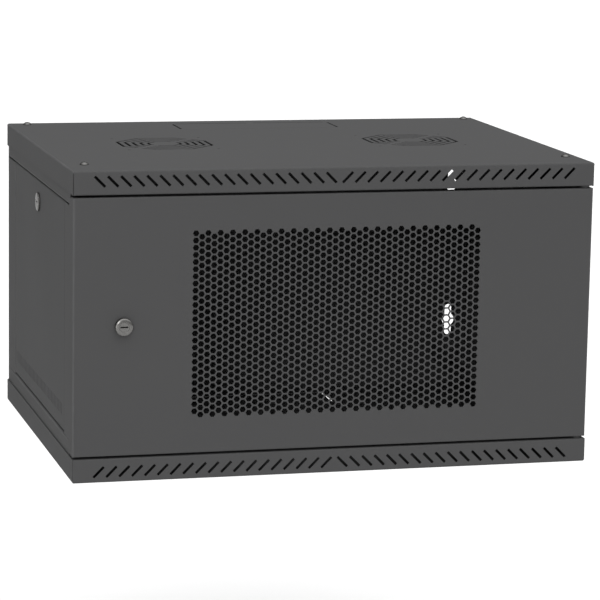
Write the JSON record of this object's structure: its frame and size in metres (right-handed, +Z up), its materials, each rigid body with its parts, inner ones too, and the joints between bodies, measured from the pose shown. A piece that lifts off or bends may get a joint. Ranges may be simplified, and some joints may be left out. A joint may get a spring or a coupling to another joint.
{
  "type": "wall-mount network rack cabinet",
  "caption": "Steel wall cabinet for 19 inch network equipment, with a perforated locking door, removable side panels and fan grilles.",
  "frame": {"origin": "middle of the bottom panel's underside, halfway between the caps' sides and halfway between the caps' front and rear skirts", "axes": "+X to the right as seen from the door, +Y from the door to the wall, +Z up"},
  "size_m": [0.6016, 0.4565, 0.3513],
  "materials": {
    "powder_coat": "fine-textured dark grey powder coat",
    "nickel": "satin nickel plate",
    "zinc": "bright zinc plate"
  },
  "bodies": {
    "cabinet": {"top_panel": "powder_coat", "bottom_panel": "powder_coat", "rear_panel": "powder_coat", "post_front_left": "powder_coat", "post_front_right": "powder_coat", "post_rear_left": "powder_coat", "post_rear_right": "powder_coat", "rail_top_left": "powder_coat", "rail_top_right": "powder_coat", "rail_bottom_left": "powder_coat", "rail_bottom_right": "powder_coat", "channel_lower_left": "powder_coat", "channel_lower_right": "powder_coat", "channel_upper_left": "powder_coat", "channel_upper_right": "powder_coat", "screw_top_front_left": "nickel", "screw_top_front_right": "nickel", "screw_top_rear_left": "nickel", "screw_top_rear_right": "nickel", "screw_bottom_front_left": "zinc", "screw_bottom_front_right": "zinc", "screw_bottom_rear_left": "zinc", "screw_bottom_rear_right": "zinc"},
    "door": {"door": "powder_coat", "door_lock_barrel": "nickel", "door_lock_nut": "zinc", "hinge_bracket": "zinc", "hinge_spring": "zinc", "hinge_pin_lower": "zinc", "hinge_washer_lower": "powder_coat", "hinge_washer_upper": "powder_coat"},
    "door_lock": {"door_lock_plug": "nickel", "door_lock_cam": "zinc"},
    "upper_pin": {"hinge_pin_upper": "zinc"},
    "side_panel_left": {"side_panel_left": "powder_coat", "side_lock_left_barrel": "nickel", "side_lock_left_nut": "zinc"},
    "side_lock_left": {"side_lock_left_plug": "nickel", "side_lock_left_cam": "zinc"},
    "equipment_rail_left": {"equipment_rail_left": "powder_coat", "rail_bolt_lower_left": "zinc", "rail_bolt_upper_left": "zinc", "rail_nut_lower_left": "zinc", "rail_nut_upper_left": "zinc"},
    "side_panel_right": {"side_panel_right": "powder_coat", "side_lock_right_barrel": "nickel", "side_lock_right_nut": "zinc"},
    "side_lock_right": {"side_lock_right_plug": "nickel", "side_lock_right_cam": "zinc"},
    "equipment_rail_right": {"equipment_rail_right": "powder_coat", "rail_bolt_lower_right": "zinc", "rail_bolt_upper_right": "zinc", "rail_nut_lower_right": "zinc", "rail_nut_upper_right": "zinc"}
  },
  "joints": [
    {"name": "door_hinge", "type": "hinge", "parent": "cabinet", "child": "door", "pos_m": [0.2915, -0.217, 0.174], "axis": [0, 0, 1], "range_deg": [0, 180]},
    {"name": "door_lock_turn", "type": "hinge", "parent": "door", "child": "door_lock", "pos_m": [-0.2437, -0.225, 0.1753], "axis": [0, 1, 0], "range_deg": [0, 90]},
    {"name": "upper_pin_pull", "type": "slide", "parent": "door", "child": "upper_pin", "axis": [0, 0, -1], "range_m": [0, 0.007], "stiffness_N_per_m": 300, "springref_m": -0.004},
    {"name": "side_panel_left_off", "type": "slide", "parent": "cabinet", "child": "side_panel_left", "axis": [-1, 0, 0], "range_m": [0, 0.12]},
    {"name": "side_lock_left_turn", "type": "hinge", "parent": "side_panel_left", "child": "side_lock_left", "pos_m": [-0.2983, 0.005, 0.282], "axis": [1, 0, 0], "range_deg": [0, 90]},
    {"name": "equipment_rail_left_depth", "type": "slide", "parent": "cabinet", "child": "equipment_rail_left", "axis": [0, 1, 0], "range_m": [0, 0.06]},
    {"name": "side_panel_right_off", "type": "slide", "parent": "cabinet", "child": "side_panel_right", "axis": [1, 0, 0], "range_m": [0, 0.12]},
    {"name": "side_lock_right_turn", "type": "hinge", "parent": "side_panel_right", "child": "side_lock_right", "pos_m": [0.2983, 0.005, 0.282], "axis": [1, 0, 0], "range_deg": [0, 90]},
    {"name": "equipment_rail_right_depth", "type": "slide", "parent": "cabinet", "child": "equipment_rail_right", "axis": [0, 1, 0], "range_m": [0, 0.06]}
  ]
}
